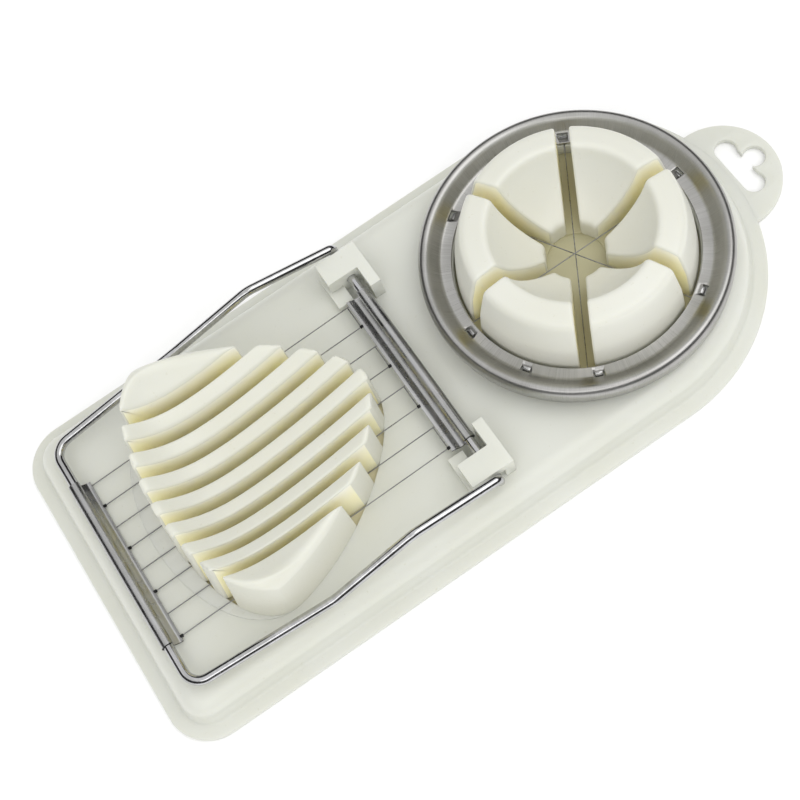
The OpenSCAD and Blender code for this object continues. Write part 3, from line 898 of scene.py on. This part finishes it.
def make_tongues():
    """The lanced tongue in each window of the ring, bent down to grip a wire."""
    parts = []
    for turn in WINDOWS:
        line = [(TONGUE_ROOT + TONGUE_LONG * t, LEDGE + TONGUE_UP - TONGUE_DROOP * t * t)
                for t in np.linspace(0, 1, 9)]
        section = line + [(r, z - TONGUE_THICK) for r, z in line[::-1]]
        rows = [[on_ring(math.radians(turn), r, w, z - drop) for r, z in section]
                for w, drop in TONGUE_ROWS]
        parts.append(loft(rows, cap_start=True, cap_end=True))
    return join(parts)


verts, faces = make_tongues()
tongues = new_object("ring_tongues", verts, faces, [strip_steel], smooth=60)
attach(tongues, "ring")

# ------------------------------------------------------------------ blocks and tab


ROUND = 0.5  # width of the blocks' rounded edges
TAB_END, TAB_R, LOBE_R = 109.0, 16.4, 3.1
# The hanging hole: its middle from the tab's end, its tip lobe's centre from the middle, the side
# lobes' centres from the axis, and the neck's width.
HOLE_IN, HOLE_TIP, HOLE_SIDE, HOLE_NECK = 13.4, 7.9, 6.2, 2.6


def rounded_copy(node, name):
    """A copy of a CAD piece with its sharp edges rounded."""
    source = bpy.data.objects[node]
    bm = bmesh.new()
    bm.from_mesh(source.data)
    bmesh.ops.remove_doubles(bm, verts=bm.verts, dist=CAD_WELD * MM)
    bmesh.ops.dissolve_limit(bm, angle_limit=math.radians(1), verts=bm.verts, edges=bm.edges)
    mesh = bpy.data.meshes.new(name)
    bm.to_mesh(mesh)
    bm.free()
    o = bpy.data.objects.new(name, mesh)
    bpy.context.collection.objects.link(o)
    mod = o.modifiers.new("round", "BEVEL")
    mod.width = ROUND * MM
    mod.segments = 4
    mod.limit_method = "ANGLE"
    mod.angle_limit = math.radians(40)
    bpy.context.view_layer.update()
    shape = bpy.data.meshes.new_from_object(o.evaluated_get(bpy.context.evaluated_depsgraph_get()))
    o.modifiers.clear()
    o.data = shape
    shape.materials.clear()
    shape.materials.append(plastic)
    shape.shade_smooth()
    shape.set_sharp_from_angle(angle=math.radians(35))
    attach(o, "base")
    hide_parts(node)


rounded_copy("hinge_block_far", "block_far")
rounded_copy("hinge_block_near", "block_near")


def tab_edge(inset):
    """The tab's outline: round end, straight sides, and the arc where it runs into the lip."""
    r = TAB_R - inset
    lip = HALF - 0.45
    foot_x = ROUND_X + math.sqrt(lip * lip - r * r)
    pts = arc2(TAB_END - TAB_R, 0, r, -90, 90, 64)
    pts += [(x, r) for x in np.linspace(TAB_END - TAB_R, foot_x, 6)[1:]]
    turn = math.degrees(math.asin(r / lip))
    pts += arc2(ROUND_X, 0, lip, turn, -turn, 30)[1:]
    pts += [(x, -r) for x in np.linspace(foot_x, TAB_END - TAB_R, 6)[1:-1]]
    return pts


def hole_edge(grow):
    """The three-lobed hanging hole: the arcs of its +Y half, and their mirror image."""
    base, r = TAB_END - HOLE_IN, LOBE_R + grow
    lobe_x, tip_x, edge_x = base + LOBE_R, base + HOLE_TIP, base + LOBE_R + HOLE_NECK + grow
    a = math.degrees(math.acos((HOLE_NECK + grow) / r))
    b = math.degrees(math.acos((tip_x - edge_x) / r))
    upper = arc2(lobe_x, HOLE_SIDE, r, 180, -a, 36) + arc2(tip_x, 0, r, 180 - b, 0, 24)
    return upper + [(x, -y) for x, y in upper[-2::-1]]


def make_tab():
    # (rounding, height) up the edge
    levels = [(0.3, 0.0), (0.08, 0.1), (0.0, 0.35), (0.0, 1.42), (0.03, 1.6), (0.12, 1.73), (0.35, LIP)]
    parts = []
    for edge in (tab_edge, hole_edge):
        parts.append(loft([[(x, y, z) for x, y in edge(d)] for d, z in levels]))
    for (inset, z), flip in ((levels[-1], False), (levels[0], True)):
        parts.append(flat_with_holes(tab_edge(inset), [hole_edge(inset)], z, flip=flip))
    return join(parts)


verts, faces = make_tab()
tab = new_object("tab", verts, faces, [plastic], smooth=50)
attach(tab, "base")
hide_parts("hanging_tab")

# ------------------------------------------------------------------ floor and light

SCREEN_R, SCREEN_FOOT, SCREEN_TOP = 900.0, 8.0, 900.0
WORLD_LIGHT = 0.92
# Name, place in metres, size and power of each lamp.
LAMPS = (("key", (0.5, -0.25, 0.95), 0.9, 3.2), ("fill", (-0.5, -0.8, 0.85), 0.9, 3.2))


def make_stage():
    bpy.ops.mesh.primitive_plane_add(size=6.0, location=(0, 0, cad_low[2]))
    floor = bpy.context.active_object
    floor.name = "floor"
    white = Shader("floor_white")
    grain = white.noise(white.place(), 30.0)
    tone = white.ramp(grain, (0.3, (0.95, 0.95, 0.95)), (0.7, (0.96, 0.96, 0.96)))
    floor.data.materials.append(white.finish(tone, white.range(grain, 0.3, 0.7, 0.8, 0.9)))
    # a low dark screen round the set gives the polished steel its dark bands
    turns = np.linspace(0, 2 * math.pi, 49)[:-1]
    verts, faces = loft([[(SCREEN_R * math.cos(a), SCREEN_R * math.sin(a), z) for a in turns]
                         for z in (SCREEN_FOOT, SCREEN_TOP)])
    grey = Shader("screen_grey")
    cloud = grey.noise(grey.place(), 5.0)
    tone = grey.ramp(cloud, (0.3, (0.02, 0.02, 0.02)), (0.7, (0.03, 0.03, 0.03)))
    dull = grey.range(cloud, 0.3, 0.7, 0.9, 1.0)
    screen = new_object("screen", verts, faces, [grey.finish(tone, dull)])
    screen.visible_camera = False
    screen.visible_diffuse = False
    screen.visible_shadow = False
    world = bpy.data.worlds.new("world")
    bpy.context.scene.world = world
    world.use_nodes = True
    world.node_tree.nodes["Background"].inputs[0].default_value = (1.0, 1.0, 1.0, 1.0)
    world.node_tree.nodes["Background"].inputs[1].default_value = WORLD_LIGHT
    for name, at, size, power in LAMPS:
        light = bpy.data.lights.new(name, "AREA")
        light.size = size
        light.energy = power
        o = bpy.data.objects.new(name, light)
        bpy.context.collection.objects.link(o)
        o.location = at
        o.rotation_euler = (-Vector(at)).to_track_quat("-Z", "Y").to_euler()
    bpy.context.scene.view_settings.view_transform = "Standard"


make_stage()
